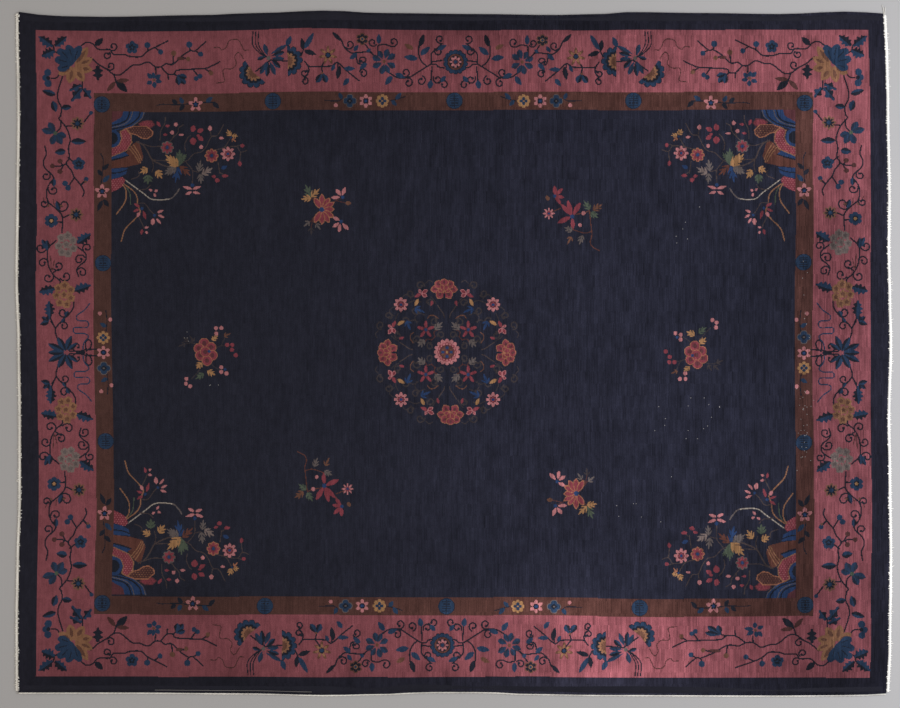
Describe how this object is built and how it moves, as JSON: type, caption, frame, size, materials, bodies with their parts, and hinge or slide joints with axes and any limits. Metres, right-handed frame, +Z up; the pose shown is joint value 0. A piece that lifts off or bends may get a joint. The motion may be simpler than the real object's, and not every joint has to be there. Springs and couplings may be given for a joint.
{
  "type": "chinese art deco rug",
  "caption": "Flat hand-knotted wool rug with a floral border and field, white cotton ends and an overcast side cord, lying on a floor.",
  "frame": {"origin": "middle of the rug's underside, on the floor it lies on", "axes": "+X along the warps, from one cotton end to the other; +Y across the rug, away from the corded side; +Z up out of the pile"},
  "size_m": [3.5202, 2.769, 0.0123],
  "materials": {
    "wool_pile": "matt brushed wool pile",
    "white_cotton": "matt twisted cotton"
  },
  "bodies": {
    "root": {"pile_slab": "wool_pile", "cotton_end_left": "white_cotton", "cotton_end_right": "white_cotton", "side_cord": "white_cotton"}
  },
  "joints": []
}
